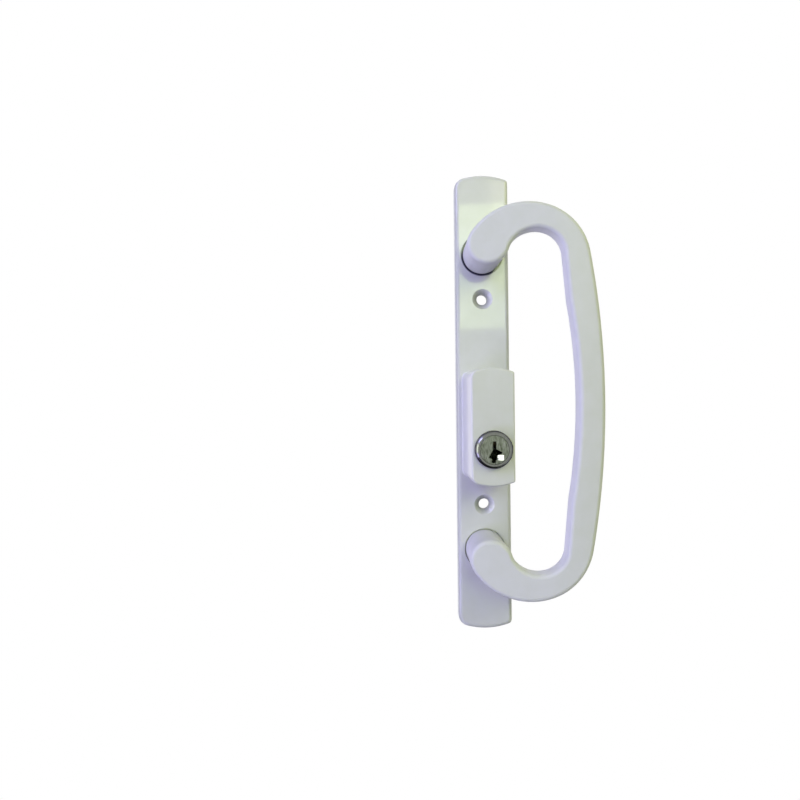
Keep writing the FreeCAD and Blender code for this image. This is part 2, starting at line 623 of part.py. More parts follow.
def lead_in_wedge():
    """The slanted cut that guides the key in: deepest at the slot, running out on the plug's face."""
    floor = COLLAR_HEIGHT - KEYWAY_LEAD_DEPTH
    places = [
        (0.0, COLLAR_HEIGHT),
        (KEYWAY_LEAD_REACH, COLLAR_HEIGHT),
        (KEYWAY_LEAD_START, floor),
        (0.0, floor),
    ]
    corners = [point(x, height, AXIS_Z + KEYWAY_LEAD_BOTTOM) for x, height in places]
    wedge = Part.Face(Part.makePolygon(corners + corners[:1]))
    return wedge.extrude(Vector(0, 0, KEYWAY_WARD_BOTTOM - KEYWAY_LEAD_BOTTOM))


def make_key_plug():
    """The plug that the key turns, with keyway, pin chambers, clip groove and tailpiece slot."""
    chamfer_low = COLLAR_HEIGHT - PLUG_EDGE_CHAMFER
    body = rod(PLUG_RADIUS, BORE_END, chamfer_low, 0, AXIS_Z)
    face = cone(PLUG_RADIUS, PLUG_RADIUS - PLUG_EDGE_CHAMFER, chamfer_low, COLLAR_HEIGHT, 0, AXIS_Z)
    boss_radius = TAIL_BOSS_DIAMETER / 2
    boss = rod(boss_radius, TAIL_BOSS_REAR, BORE_END, 0, AXIS_Z)
    plug = body.fuse([face, boss]).removeSplitter()
    groove_high = CLIP_FRONT + CLIP_CLEARANCE
    groove_low = CLIP_FRONT - CLIP_THICKNESS - CLIP_CLEARANCE
    groove = rod(boss_radius + OVERCUT, groove_low, groove_high, 0, AXIS_Z)
    groove = groove.cut(rod(boss_radius - CLIP_GROOVE_DEPTH, groove_low, groove_high, 0, AXIS_Z))
    slot_half_width = TAIL_THICKNESS / 2 + RUNNING_CLEARANCE
    slot_half_height = TAIL_WIDTH / 2 + RUNNING_CLEARANCE
    slot_low = TAIL_BOSS_REAR - OVERCUT
    slot_high = TAIL_BOSS_REAR + TAIL_SLOT_DEPTH
    cuts = [
        groove,
        prism(keyway_outline(), slot_high + KEYWAY_BLIND, COLLAR_HEIGHT + OVERCUT),
        lead_in_wedge(),
        block(
            -slot_half_width,
            slot_half_width,
            slot_low,
            slot_high,
            AXIS_Z - slot_half_height,
            AXIS_Z + slot_half_height,
        ),
        level_rod(CROSS_PIN_RADIUS + THREAD_CLEARANCE, boss_radius + OVERCUT),
    ]
    for height in PIN_HEIGHTS:
        cuts.append(upright_rod(CHAMBER_RADIUS, height, KEYWAY_PIN_STOP, PLUG_RADIUS + OVERCUT))
    return plug.cut(cuts)


def level_rod(radius, half_length):
    """A cylinder along X through the tail boss."""
    return Part.makeCylinder(
        radius, 2 * half_length, point(-half_length, CROSS_PIN_HEIGHT, AXIS_Z), Vector(1, 0, 0)
    )


def make_key_pin(height, length):
    """A pin with a blunt cone at its foot and its top at the shear line."""
    foot = KEY_PIN_TOP - length
    tip = upright_cone(KEY_PIN_TIP_RADIUS, PIN_RADIUS, height, foot, foot + KEY_PIN_TIP_HEIGHT)
    shank = upright_rod(PIN_RADIUS, height, foot + KEY_PIN_TIP_HEIGHT, KEY_PIN_TOP)
    return tip.fuse(shank).removeSplitter()


def make_driver_pin(height):
    """A plain pin above the shear line, chamfered at both ends."""
    pin = upright_rod(PIN_RADIUS, height, DRIVER_BOTTOM, DRIVER_BOTTOM + DRIVER_LENGTH)
    rims = [edge for edge in pin.Edges if isinstance(edge.Curve, Part.Circle)]
    return pin.makeChamfer(DRIVER_CHAMFER, rims)


def make_pin_spring(height):
    """A coil of half turns, each lying in a tilted plane, between two flat end turns."""
    inner_radius = PIN_RADIUS - SPRING_WIRE
    mean_radius = PIN_RADIUS - SPRING_WIRE / 2
    rise = (SPRING_LENGTH - 2 * SPRING_WIRE) / SPRING_HALF_TURNS
    tilt = math.degrees(math.asin(rise / (2 * mean_radius)))
    origin = Vector(0, 0, 0)
    axis = Vector(0, 0, 1)
    middle = Vector(0, 0, -SPRING_WIRE / 2)

    def turn_of(degrees):
        outside = Part.makeCylinder(PIN_RADIUS, SPRING_WIRE, middle, axis, degrees)
        return outside.cut(Part.makeCylinder(inner_radius, SPRING_WIRE, middle, axis, 360))

    bottom = turn_of(360)
    top = turn_of(360)
    top.translate(Vector(0, 0, SPRING_LENGTH - SPRING_WIRE))
    turns = [top]
    for i in range(SPRING_HALF_TURNS):
        turn = turn_of(180)
        turn.rotate(origin, Vector(0, 1, 0), tilt)
        turn.rotate(origin, axis, 180 * i)
        turn.translate(Vector(0, 0, SPRING_WIRE / 2 + (i + 0.5) * rise))
        turns.append(turn)
    coil = bottom.fuse(turns)
    coil.translate(point(0, height, AXIS_Z + SPRING_BOTTOM + SPRING_WIRE / 2))
    return coil


def make_plug_clip():
    """Open ring in the groove behind the bore."""
    groove_radius = TAIL_BOSS_DIAMETER / 2 - CLIP_GROOVE_DEPTH + CLIP_CLEARANCE
    low = CLIP_FRONT - CLIP_THICKNESS
    ring = rod(CLIP_RADIUS, low, CLIP_FRONT, 0, AXIS_Z).cut(rod(groove_radius, low, CLIP_FRONT, 0, AXIS_Z))
    half_mouth = CLIP_MOUTH / 2
    mouth = block(-half_mouth, half_mouth, low, CLIP_FRONT, AXIS_Z - CLIP_RADIUS - OVERCUT, AXIS_Z)
    return ring.cut(mouth)


def make_tailpiece():
    """Flat blade from the plug to the lock inside the door."""
    half_width = TAIL_WIDTH / 2
    half_thickness = TAIL_THICKNESS / 2
    front = TAIL_BOSS_REAR + TAIL_SLOT_DEPTH
    blade = block(
        -half_thickness, half_thickness, -TAIL_REACH, front, AXIS_Z - half_width, AXIS_Z + half_width
    )
    end_edges = [
        edge
        for edge in blade.Edges
        if edge.BoundBox.YMin > TAIL_REACH - TOUCH and edge.BoundBox.ZLength < TOUCH
    ]
    blade = blade.makeFillet(TAIL_CORNER_RADIUS, end_edges)
    return blade.cut(level_rod(CROSS_PIN_RADIUS + THREAD_CLEARANCE, TAIL_WIDTH))


def make_cross_pin():
    """Pin through the tail boss and the tailpiece."""
    half_length = math.sqrt((TAIL_BOSS_DIAMETER / 2) ** 2 - CROSS_PIN_RADIUS**2)
    return level_rod(CROSS_PIN_RADIUS, half_length)


def make_cylinder_retainer():
    """Stamped plate in the recess that closes the housing behind the cylinder."""
    half_width = PLATE_WIDTH / 2 - PLATE_RIM - SWING_CLEARANCE
    low_z = RETAINER_LOWER_Z - RETAINER_MARGIN
    high_z = RETAINER_UPPER_Z + RETAINER_MARGIN
    low = RECESS_DEPTH - RETAINER_THICKNESS
    plate = block(-half_width, half_width, low, RECESS_DEPTH, low_z, high_z)
    plate = plate.makeFillet(RETAINER_CORNER_RADIUS, upright_edges(plate))
    tail_sweep = math.hypot(TAIL_WIDTH / 2, TAIL_THICKNESS / 2) + SWING_CLEARANCE
    holes = [rod(tail_sweep, low - OVERCUT, RECESS_DEPTH + OVERCUT, 0, AXIS_Z)]
    screw_hole = RETAINER_SCREW_DIAMETER / 2 + SEAT_CLEARANCE
    for z in RETAINER_SCREW_PLACES:
        holes.append(rod(screw_hole, low - OVERCUT, RECESS_DEPTH + OVERCUT, 0, z))
    return plate.cut(holes)


def make_retainer_screws():
    """Two small screws with flat round heads."""
    seat = RECESS_DEPTH - RETAINER_THICKNESS
    head_low = seat - RETAINER_HEAD_HEIGHT
    screws = []
    for z in RETAINER_SCREW_PLACES:
        head = rod(RETAINER_HEAD_DIAMETER / 2, head_low, seat, 0, z)
        shank = rod(RETAINER_SCREW_DIAMETER / 2, seat, RECESS_DEPTH + RETAINER_SCREW_BITE, 0, z)
        drive = cross_recess(RETAINER_HEAD_DIAMETER, head_low, z)
        screws.append(head.fuse(shank).removeSplitter().cut(drive))
    return Part.makeCompound(screws)


def main():
    nodes = {
        "escutcheon": make_escutcheon(),
        "pull_handle": make_pull(),
        "pull_screws": make_pull_screws(),
        "cylinder_shell": make_cylinder_shell(),
        "chamber_cover": make_chamber_cover(),
        "key_plug": make_key_plug(),
        "plug_clip": make_plug_clip(),
        "tailpiece": make_tailpiece(),
        "tailpiece_pin": make_cross_pin(),
        "cylinder_retainer": make_cylinder_retainer(),
        "retainer_screws": make_retainer_screws(),
    }
    for i, (height, length) in enumerate(zip(PIN_HEIGHTS, KEY_PIN_LENGTHS), start=1):
        nodes[f"key_pin_{i}"] = make_key_pin(height, length)
        nodes[f"driver_pin_{i}"] = make_driver_pin(height)
        nodes[f"pin_spring_{i}"] = make_pin_spring(height)
    for name, shape in nodes.items():
        shape.exportStep(f"parts/{name}.step")
        state = "valid" if shape.isValid() else "BAD"
        print(name, len(shape.Solids), "solids", round(shape.Volume, 1), "mm3", state)


main()
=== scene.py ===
# %% [markdown]
# # Outside handle of a sliding patio door
# The real thing is a white enamelled casting: a long plate with a lock housing, a bow-shaped pull on two
# posts, and a metal key cylinder. The solids come ready made from the imported model, in metres and in their
# right places, so this lesson is about what the solids lack: light, finishes and the finest pieces. Loading
# comes first.

# %% Load the imported model
import math

import bpy
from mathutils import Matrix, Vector


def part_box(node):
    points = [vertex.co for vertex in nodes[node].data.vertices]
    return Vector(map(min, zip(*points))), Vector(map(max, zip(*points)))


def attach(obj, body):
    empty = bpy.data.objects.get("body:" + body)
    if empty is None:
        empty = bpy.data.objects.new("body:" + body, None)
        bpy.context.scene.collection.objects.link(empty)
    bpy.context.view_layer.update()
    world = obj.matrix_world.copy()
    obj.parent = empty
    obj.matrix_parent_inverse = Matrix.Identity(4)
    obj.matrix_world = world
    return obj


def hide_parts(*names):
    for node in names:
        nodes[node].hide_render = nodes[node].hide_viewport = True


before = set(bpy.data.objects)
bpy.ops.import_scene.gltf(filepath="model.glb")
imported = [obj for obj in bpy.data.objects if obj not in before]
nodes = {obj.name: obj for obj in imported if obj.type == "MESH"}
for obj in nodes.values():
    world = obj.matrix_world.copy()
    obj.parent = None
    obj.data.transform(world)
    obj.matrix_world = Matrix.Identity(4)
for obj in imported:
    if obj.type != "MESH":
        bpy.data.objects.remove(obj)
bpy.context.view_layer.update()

# %% [markdown]
# ## Camera
# The picture is square, and its camera stood close: the posts show their left and lower sides. A pinhole
# camera was fitted to the screw holes and to the fronts of the housing and the pull. It looks straight at the
# door, a little to the left of the plate, and is turned by 0.6 degrees.

# %% Camera
SENSOR_WIDTH = 36.0
FOCAL_SHARE = 0.8  # focal length as a share of the picture's width
CAMERA_PLACE = Vector((-0.0406, -0.317, 0.0013))
CAMERA_LEVEL = math.radians(90)  # a camera looks down until it is raised
CAMERA_ROLL = math.radians(0.62)

lens = bpy.data.cameras.new("camera")
lens.sensor_width = SENSOR_WIDTH
lens.lens = FOCAL_SHARE * SENSOR_WIDTH
camera = bpy.data.objects.new("camera", lens)
camera.location = CAMERA_PLACE
camera.rotation_euler = (CAMERA_LEVEL, CAMERA_ROLL, 0)
bpy.context.scene.collection.objects.link(camera)
bpy.context.scene.camera = camera
bpy.context.scene.view_settings.view_transform = "Standard"
print("camera", round(CAMERA_PLACE.length, 3), "m from the plate")

# %% [markdown]
# ## Node helpers
# Materials, the world and geometry trees are all node trees, so a few small helpers save most of the typing:
# one adds a node, one fills a socket with either a value or a link, and the others return the output of a
# node that is needed again and again.


# %% Node helpers
def add(tree, kind, sockets=None, **settings):
    """Adds a node, sets its own settings, then fills its input sockets."""
    made = tree.nodes.new(kind)
    for name, value in settings.items():
        setattr(made, name, value)
    for name, value in (sockets or {}).items():
        fill(tree, made.inputs[name], value)
    return made


def fill(tree, socket, value):
    """Links an output to a socket, or sets the socket's own value."""
    if isinstance(value, bpy.types.NodeSocket):
        tree.links.new(value, socket)
    else:
        socket.default_value = value


def math_node(tree, operation, *values, clamp=False):
    """A Math node's output."""
    made = add(tree, "ShaderNodeMath", operation=operation, use_clamp=clamp)
    for i, value in enumerate(values):
        fill(tree, made.inputs[i], value)
    return made.outputs[0]


def combine(tree, operation, values):
    """One Math operation over a list of values."""
    total = values[0]
    for value in values[1:]:
        total = math_node(tree, operation, total, value)
    return total


def spread(tree, value, low, high, from_low=0.0, from_high=1.0):
    """Maps a value from one range to another, held at the ends."""
    made = add(tree, "ShaderNodeMapRange", {"Value": value, "From Min": from_low, "From Max": from_high})
    fill(tree, made.inputs["To Min"], low)
    fill(tree, made.inputs["To Max"], high)
    return made.outputs[0]


def blend_colours(tree, factor, first, second):
    """Output of a colour mix, whose colour sockets have the numbers 6 and 7."""
    mix = add(tree, "ShaderNodeMix", data_type="RGBA")
    fill(tree, mix.inputs["Factor"], factor)
    fill(tree, mix.inputs[6], first)
    fill(tree, mix.inputs[7], second)
    return mix.outputs[2]


def noise(tree, place, scale, detail, roughness):
    """A noise texture's value."""
    sockets = {"Vector": place, "Scale": scale, "Detail": detail, "Roughness": roughness}
    return add(tree, "ShaderNodeTexNoise", sockets).outputs[0]


def object_place(tree):
    """Place on the object, which moves with it."""
    return add(tree, "ShaderNodeTexCoord").outputs["Object"]


print("helpers ready")

# %% [markdown]
# ## Studio
# The background is clean white, and the light is soft. The world is white to the camera and to mirror-like
# rays, so metal shows the same white room, and gives matt surfaces a quieter level that is lower from below.

# %% World
WHITE = (1, 1, 1, 1)
ROOM_ABOVE = (0.12, 0.12, 0.15, 1)
ROOM_BELOW = (0.07, 0.07, 0.10, 1)

world = bpy.data.worlds.new("studio")
world.use_nodes = True
room = world.node_tree
room.nodes.clear()
ray = add(room, "ShaderNodeLightPath")
seen = math_node(room, "ADD", ray.outputs["Is Camera Ray"], ray.outputs["Is Glossy Ray"])
seen = math_node(room, "ADD", seen, ray.outputs["Is Transmission Ray"], clamp=True)
direction = add(room, "ShaderNodeTexCoord").outputs["Generated"]
rising = add(room, "ShaderNodeSeparateXYZ", {"Vector": direction}).outputs["Z"]
height_share = math_node(room, "MULTIPLY_ADD", rising, 0.5, 0.5, clamp=True)  # 0 below, 1 above
quiet = blend_colours(room, height_share, ROOM_BELOW, ROOM_ABOVE)
tone = blend_colours(room, seen, quiet, WHITE)
sky = add(room, "ShaderNodeBackground", {"Color": tone, "Strength": 1.0})
add(room, "ShaderNodeOutputWorld", {"Surface": sky.outputs[0]})
bpy.context.scene.world = world
print("world ready")

# %% [markdown]
# Lamps do the modelling, and their tints show form: two lilac ones on the left colour the sides and shadows,
# two warm ones on the right keep the fronts neutral, a weak one at the left glints in the metal, and a panel
# above the camera mirrors itself as the bright patch on the upper plate. One more stands behind, for looking
# at the back. It is kept out of mirror-like rays, because it would streak the sides that the camera sees at a
# low angle.

# %% Lamps
LAMPS = {  # place, width, height, power and colour
    "panel_above_camera": ((0.12, -1.20, 0.3095), 0.42, 0.287, 2.9, (0.78, 1.0, 0.43)),
    "warm_right": ((0.70, -0.60, 0.60), 0.50, 0.50, 4.1, (0.94, 1.0, 0.50)),
    "warm_front": ((0.40, -1.05, 0.50), 0.50, 0.40, 1.9, (1.0, 0.96, 0.47)),
    "lilac_high": ((-0.80, -0.50, 0.60), 0.50, 0.50, 7.4, (0.55, 0.52, 1.0)),
    "lilac_low": ((-0.90, -0.45, -0.55), 0.50, 0.50, 5.4, (0.52, 0.45, 1.0)),
    "soft_left": ((-1.05, -0.45, 0.02), 0.50, 0.60, 3.8, (0.92, 0.95, 0.83)),
    "behind": ((0.0, 1.20, 0.15), 0.80, 0.80, 8.0, (1.0, 1.0, 1.0)),
}


def add_lamp(name, place, width, height, power, colour):
    """An area lamp that faces the handle."""
    lamp = bpy.data.lights.new(name, "AREA")
    lamp.shape = "RECTANGLE"
    lamp.size = width
    lamp.size_y = height
    lamp.energy = power
    lamp.color = colour
    holder = bpy.data.objects.new(name, lamp)
    holder.location = place
    holder.rotation_euler = (-Vector(place)).to_track_quat("-Z", "Y").to_euler()
    holder.visible_glossy = name != "behind"
    bpy.context.scene.collection.objects.link(holder)


for name, values in LAMPS.items():
    add_lamp(name, *values)
print(len(LAMPS), "lamps")

# %% [markdown]
# ## Floor
# The handle hangs in the air as it would on a door. A pale round floor lies far enough below to stay out of
# the picture, and it takes the soft shadow. Towards its edge it fades into the white room, so no rim shows.

# %% Floor
FLOOR_DROP = 0.45
FLOOR_RADIUS = 0.35
FLOOR_SIDES = 128
FLOOR_COLOUR = (0.80, 0.80, 0.80, 1)
FLOOR_ROUGHNESS = 0.9


def new_material(name):
    """A new material, its node tree and its shader."""
    material = bpy.data.materials.new(name)
    material.use_nodes = True
    tree = material.node_tree
    return material, tree, tree.nodes["Principled BSDF"]


bpy.ops.mesh.primitive_circle_add(
    vertices=FLOOR_SIDES, radius=FLOOR_RADIUS, fill_type="NGON", location=(0, 0, -FLOOR_DROP)
)
floor = bpy.context.object
floor.name = "floor"
floor_paint, floor_tree, floor_shader = new_material("floor_paint")
fill(floor_tree, floor_shader.inputs["Base Color"], FLOOR_COLOUR)
fill(floor_tree, floor_shader.inputs["Roughness"], FLOOR_ROUGHNESS)
from_middle = add(floor_tree, "ShaderNodeVectorMath", {0: object_place(floor_tree)}, operation="LENGTH")
outwards = math_node(floor_tree, "DIVIDE", from_middle.outputs["Value"], FLOOR_RADIUS, clamp=True)
floor_ray = add(floor_tree, "ShaderNodeLightPath").outputs
floor_seen = math_node(
    floor_tree, "ADD", floor_ray["Is Camera Ray"], floor_ray["Is Glossy Ray"], clamp=True
)
fade = math_node(floor_tree, "MULTIPLY", outwards, floor_seen)
glow = add(floor_tree, "ShaderNodeEmission", {"Color": WHITE, "Strength": 1.0})
faded = add(floor_tree, "ShaderNodeMixShader", {0: fade, 1: floor_shader.outputs[0], 2: glow.outputs[0]})
fill(floor_tree, floor_tree.nodes["Material Output"].inputs["Surface"], faded.outputs[0])
floor.data.materials.append(floor_paint)
print("floor", FLOOR_DROP, "m below the middle of the plate")

# %% [markdown]
# Polished metal also needs something dark to mirror, or it looks like paint, so a dark card lies under the
# handle. Only mirror-like rays see it.

# %% Dark card
CARD_PLACE = (-0.12, -0.05, -0.30)
CARD_SIZE = 0.7
CARD_COLOUR = (0.03, 0.03, 0.03, 1)
CARD_ROUGHNESS = 1.0

bpy.ops.mesh.primitive_plane_add(size=CARD_SIZE, location=CARD_PLACE)
card = bpy.context.object
card.name = "dark_card"
card_paint, card_tree, card_shader = new_material("card_paint")
fill(card_tree, card_shader.inputs["Base Color"], CARD_COLOUR)
fill(card_tree, card_shader.inputs["Roughness"], CARD_ROUGHNESS)
card.data.materials.append(card_paint)
card.visible_camera = False
card.visible_diffuse = False
card.visible_shadow = False
card.visible_transmission = False
print("dark card", CARD_SIZE, "m wide")

# %% [markdown]
# ## Effects that several finishes share
# Two effects make up the finishes here. A sprayed skin is never quite even, which shows as slow patches in
# colour and gloss. Metal that was brushed, turned or plated carries fine lines or grain, which come from
# stretched noise. Each is one node group, placed in the materials with its own values.

# %% Shared node groups
NOISE_RANGE = (0.3, 0.7)  # most of a noise's values lie between these
PATCH_RANGE = (0.35, 0.7)


def new_group(name, inputs, outputs):
    """A shader node group with named sockets, and its two ends."""
    tree = bpy.data.node_groups.new(name, "ShaderNodeTree")
    for label, kind, value in inputs:
        tree.interface.new_socket(label, in_out="INPUT", socket_type=kind).default_value = value
    for label, kind in outputs:
        tree.interface.new_socket(label, in_out="OUTPUT", socket_type=kind)
    return tree, add(tree, "NodeGroupInput").outputs, add(tree, "NodeGroupOutput").inputs


def make_uneven_skin():
    """Slow patches in colour and gloss, and a fine skin of bumps."""
    tree, given, result = new_group(
        "uneven_skin",
        [
            ("Colour", "NodeSocketColor", (1, 1, 1, 1)),
            ("Patch Colour", "NodeSocketColor", (1, 1, 1, 1)),
            ("Patch Size", "NodeSocketFloat", 90.0),
            ("Patch Amount", "NodeSocketFloat", 0.3),
            ("Low Roughness", "NodeSocketFloat", 0.3),
            ("High Roughness", "NodeSocketFloat", 0.4),
            ("Bump Size", "NodeSocketFloat", 900.0),
        ],
        [("Colour", "NodeSocketColor"), ("Roughness", "NodeSocketFloat"), ("Height", "NodeSocketFloat")],
    )
    place = object_place(tree)
    patches = noise(tree, place, given["Patch Size"], detail=3.0, roughness=0.6)
    strength = spread(tree, patches, 0.0, given["Patch Amount"], *PATCH_RANGE)
    gloss = spread(tree, patches, given["Low Roughness"], given["High Roughness"], *NOISE_RANGE)
    peel = noise(tree, place, given["Bump Size"], detail=1.0, roughness=0.4)
    fill(tree, result["Colour"], blend_colours(tree, strength, given["Colour"], given["Patch Colour"]))
    fill(tree, result["Roughness"], gloss)
    fill(tree, result["Height"], peel)
    return tree


def make_fine_lines():
    """Brushed or turned metal: noise stretched along the lines, in colour, gloss and height."""
    tree, given, result = new_group(
        "fine_lines",
        [
            ("Colour", "NodeSocketColor", (1, 1, 1, 1)),
            ("Line Colour", "NodeSocketColor", (0.5, 0.5, 0.5, 1)),
            ("Scale", "NodeSocketVector", (9000.0, 9000.0, 250.0)),
            ("Line Amount", "NodeSocketFloat", 0.5),
            ("Low Roughness", "NodeSocketFloat", 0.2),
            ("High Roughness", "NodeSocketFloat", 0.4),
        ],
        [("Colour", "NodeSocketColor"), ("Roughness", "NodeSocketFloat"), ("Height", "NodeSocketFloat")],
    )
    stretched = add(
        tree, "ShaderNodeVectorMath", {0: object_place(tree), 1: given["Scale"]}, operation="MULTIPLY"
    )
    lines = noise(tree, stretched.outputs[0], scale=1.0, detail=4.0, roughness=0.65)
    strength = spread(tree, lines, 0.0, given["Line Amount"], *NOISE_RANGE)
    gloss = spread(tree, lines, given["Low Roughness"], given["High Roughness"], *NOISE_RANGE)
    fill(tree, result["Colour"], blend_colours(tree, strength, given["Colour"], given["Line Colour"]))
    fill(tree, result["Roughness"], gloss)
    fill(tree, result["Height"], lines)
    return tree


uneven_skin = make_uneven_skin()
fine_lines = make_fine_lines()
print("groups:", uneven_skin.name, fine_lines.name)

# %% [markdown]
# ## Finishes
# The casting and the pull wear the same white enamel, a soft grey white on which the spray leaves a faint
# orange peel. The plate is glossy enough to mirror a lamp, the pull is a little duller.

# %% White enamel
ENAMEL_COLOUR = (0.62, 0.625, 0.635, 1)
ENAMEL_PATCH = (0.59, 0.60, 0.585, 1)
PATCH_SIZE = 110.0  # noise scales count features per metre
PATCH_AMOUNT = 0.8
PEEL_SIZE = 850.0
PEEL_STRENGTH = 0.25
PEEL_HEIGHT = 0.00004


def bump(tree, height, strength, distance):
    """A Bump node's output."""
    sockets = {"Strength": strength, "Distance": distance, "Height": height}
    return add(tree, "ShaderNodeBump", sockets).outputs[0]


def make_enamel(name, roughness, specular, coat, coat_roughness):
    """Sprayed enamel."""
    material, tree, shader = new_material(name)
    values = {
        "Colour": ENAMEL_COLOUR,
        "Patch Colour": ENAMEL_PATCH,
        "Patch Size": PATCH_SIZE,
        "Patch Amount": PATCH_AMOUNT,
        "Low Roughness": roughness[0],
        "High Roughness": roughness[1],
        "Bump Size": PEEL_SIZE,
    }
    skin = add(tree, "ShaderNodeGroup", values, node_tree=uneven_skin).outputs
    fill(tree, shader.inputs["Base Color"], skin["Colour"])
    fill(tree, shader.inputs["Roughness"], skin["Roughness"])
    fill(tree, shader.inputs["Specular IOR Level"], specular)
    fill(tree, shader.inputs["Coat Weight"], coat)
    fill(tree, shader.inputs["Coat Roughness"], coat_roughness)
    fill(tree, shader.inputs["Normal"], bump(tree, skin["Height"], PEEL_STRENGTH, PEEL_HEIGHT))
    return material


pull_enamel = make_enamel(
    "pull_enamel", roughness=(0.42, 0.52), specular=0.22, coat=0.06, coat_roughness=0.25
)
plate_enamel = make_enamel(
    "white_enamel", roughness=(0.28, 0.38), specular=0.3, coat=0.5, coat_roughness=0.045
)
print("enamels:", pull_enamel.name, plate_enamel.name)

# %% [markdown]
# Marks of use, painted shade and a painted glint are each found from their place alone and laid over the
# finish that is there. So the helpers below measure places: how far from an axis, how far along one
# direction, or whether inside a box.

# %% Helpers for marks
MILLIMETRE = 0.001
SOFT_EDGE = 0.05 * MILLIMETRE


def from_axis(tree, axis):
    """Distance from an axis that runs straight into the door."""
    flat = add(tree, "ShaderNodeVectorMath", {0: object_place(tree), 1: (1, 0, 1)}, operation="MULTIPLY")
    away = add(tree, "ShaderNodeVectorMath", {0: flat.outputs[0], 1: axis}, operation="DISTANCE")
    return away.outputs["Value"]


def along(tree, axis):
    """Place along X, Y or Z."""
    return add(tree, "ShaderNodeSeparateXYZ", {"Vector": object_place(tree)}).outputs[axis]


def inside(tree, boxes):
    """1 within any of some boxes given in millimetres, 0 outside, with a soft edge."""
    masks = []
    for limits in boxes:
        sides = []
        for axis, (low, high) in zip("XYZ", limits):
            middle = (low + high) / 2 * MILLIMETRE
            reach = (high - low) / 2 * MILLIMETRE
            away = math_node(tree, "ABSOLUTE", math_node(tree, "SUBTRACT", along(tree, axis), middle))
            sides.append(spread(tree, away, 1.0, 0.0, reach, reach + SOFT_EDGE))
        masks.append(combine(tree, "MULTIPLY", sides))
    return combine(tree, "MAXIMUM", masks)


def lay_over(material, mask, values):
    """Mixes other values over those that the shader has now, as far as the mask goes."""
    tree = material.node_tree
    for label, value in values.items():
        socket = tree.nodes["Principled BSDF"].inputs[label]
        plain = socket.links[0].from_socket if socket.is_linked else socket.default_value
        mix = blend_colours if socket.type == "RGBA" else spread
        fill(tree, socket, mix(tree, mask, plain, value))


print("helpers for marks ready")

# %% [markdown]
# Each post stands in a round seat, and painted shade darkens the narrow joint round the upper one's foot, in
# place of the shadow there. Painted shade also darkens the countersinks and lies grey along the plate's left
# edge.

# %% Painted shade on the enamel
PAINTED_SHADE = (0.06, 0.058, 0.10, 1)
UPPER_POST = (0.0, 0.0, 71.5 * MILLIMETRE)
JOINT_EDGE = (10.05 * MILLIMETRE, 10.45 * MILLIMETRE)  # the joint's painted shade fades out on the plate
JOINT_FRONT = (-5.95 * MILLIMETRE, -5.6 * MILLIMETRE)  # and up the post
JOINT_BACK = (-4.0 * MILLIMETRE, -3.9 * MILLIMETRE)  # and behind the seat
SCREW_HOLES = ((0.0, 0.0, 50 * MILLIMETRE), (0.0, 0.0, -50 * MILLIMETRE))
SINK_REACH = (2.6 * MILLIMETRE, 4.8 * MILLIMETRE)  # from the hole's wall to the countersink's rim
SINK_PAINTED_SHADE = 0.55
EDGE_REACH = (-12.4 * MILLIMETRE, -11.2 * MILLIMETRE)  # from the plate's left edge inwards
EDGE_PAINTED_SHADE = 0.6
EDGE_SHADE_COLOUR = (0.35, 0.365, 0.33, 1)

# Painted shade in the upper post's joint stands in for the shadow that falls there; the lower joint is left
# plain.
for material in (pull_enamel, plate_enamel):
    tree = material.node_tree
    joint = [
        spread(tree, from_axis(tree, UPPER_POST), 1.0, 0.0, *JOINT_EDGE),
        spread(tree, along(tree, "Y"), 0.0, 1.0, *JOINT_FRONT),
        spread(tree, along(tree, "Y"), 1.0, 0.0, *JOINT_BACK),
    ]
    lay_over(material, combine(tree, "MULTIPLY", joint), {"Base Color": PAINTED_SHADE})

plate_tree = plate_enamel.node_tree
# Painted shade in each countersink, darkest at the hole's wall and fading out at the rim.
for axis in SCREW_HOLES:
    sink = spread(plate_tree, from_axis(plate_tree, axis), SINK_PAINTED_SHADE, 0.0, *SINK_REACH)
    lay_over(plate_enamel, sink, {"Base Color": PAINTED_SHADE})
# Painted shade darkens the rounding of the plate's left edge, fading out inwards.
edge_shade = spread(plate_tree, along(plate_tree, "X"), EDGE_PAINTED_SHADE, 0.0, *EDGE_REACH)
lay_over(plate_enamel, edge_shade, {"Base Color": EDGE_SHADE_COLOUR})
print("dirt in the joint, in", len(SCREW_HOLES), "countersinks and along the edge")

# %% [markdown]
# Behind, where the spray hardly reaches, the plate is bare grey zinc with a ragged edge of overspray.

# %% Bare zinc behind
ZINC_COLOUR = (0.36, 0.37, 0.39, 1)
ZINC_STAIN = (0.24, 0.25, 0.27, 1)
ZINC_ROUGHNESS = (0.42, 0.62)
ZINC_METALLIC = 0.85
STAIN_SIZE = 700.0
MIST_SIZE = 260.0
MIST_RANGE = (0.52, 0.68)
BARE_UNDER_MIST = 0.35
BACK = [  # boxes in millimetres
    ((-10.65, 10.65), (-2.95, 0.0), (-108.2, 108.2)),  # inside the rim
    ((-8.4, 8.4), (-35.9, 0.0), (-29.1, 12.9)),  # behind the lock housing
    ((-13.0, 13.0), (-0.08, 0.0), (-111.0, 111.0)),  # the rim that lies on the door
]

mist = noise(plate_tree, object_place(plate_tree), MIST_SIZE, detail=5.0, roughness=0.7)
unsprayed = spread(plate_tree, mist, 1.0, BARE_UNDER_MIST, *MIST_RANGE)
bare = math_node(plate_tree, "MULTIPLY", inside(plate_tree, BACK), unsprayed)
stain = noise(plate_tree, object_place(plate_tree), STAIN_SIZE, detail=4.0, roughness=0.65)
stained = spread(plate_tree, stain, 0.0, 1.0, *PATCH_RANGE)
lay_over(
    plate_enamel,
    bare,
    {
        "Base Color": blend_colours(plate_tree, stained, ZINC_COLOUR, ZINC_STAIN),
        "Roughness": spread(plate_tree, stain, *ZINC_ROUGHNESS, *NOISE_RANGE),
        "Metallic": ZINC_METALLIC,
        "Coat Weight": 0.0,
    },
)
print("zinc in", len(BACK), "places")

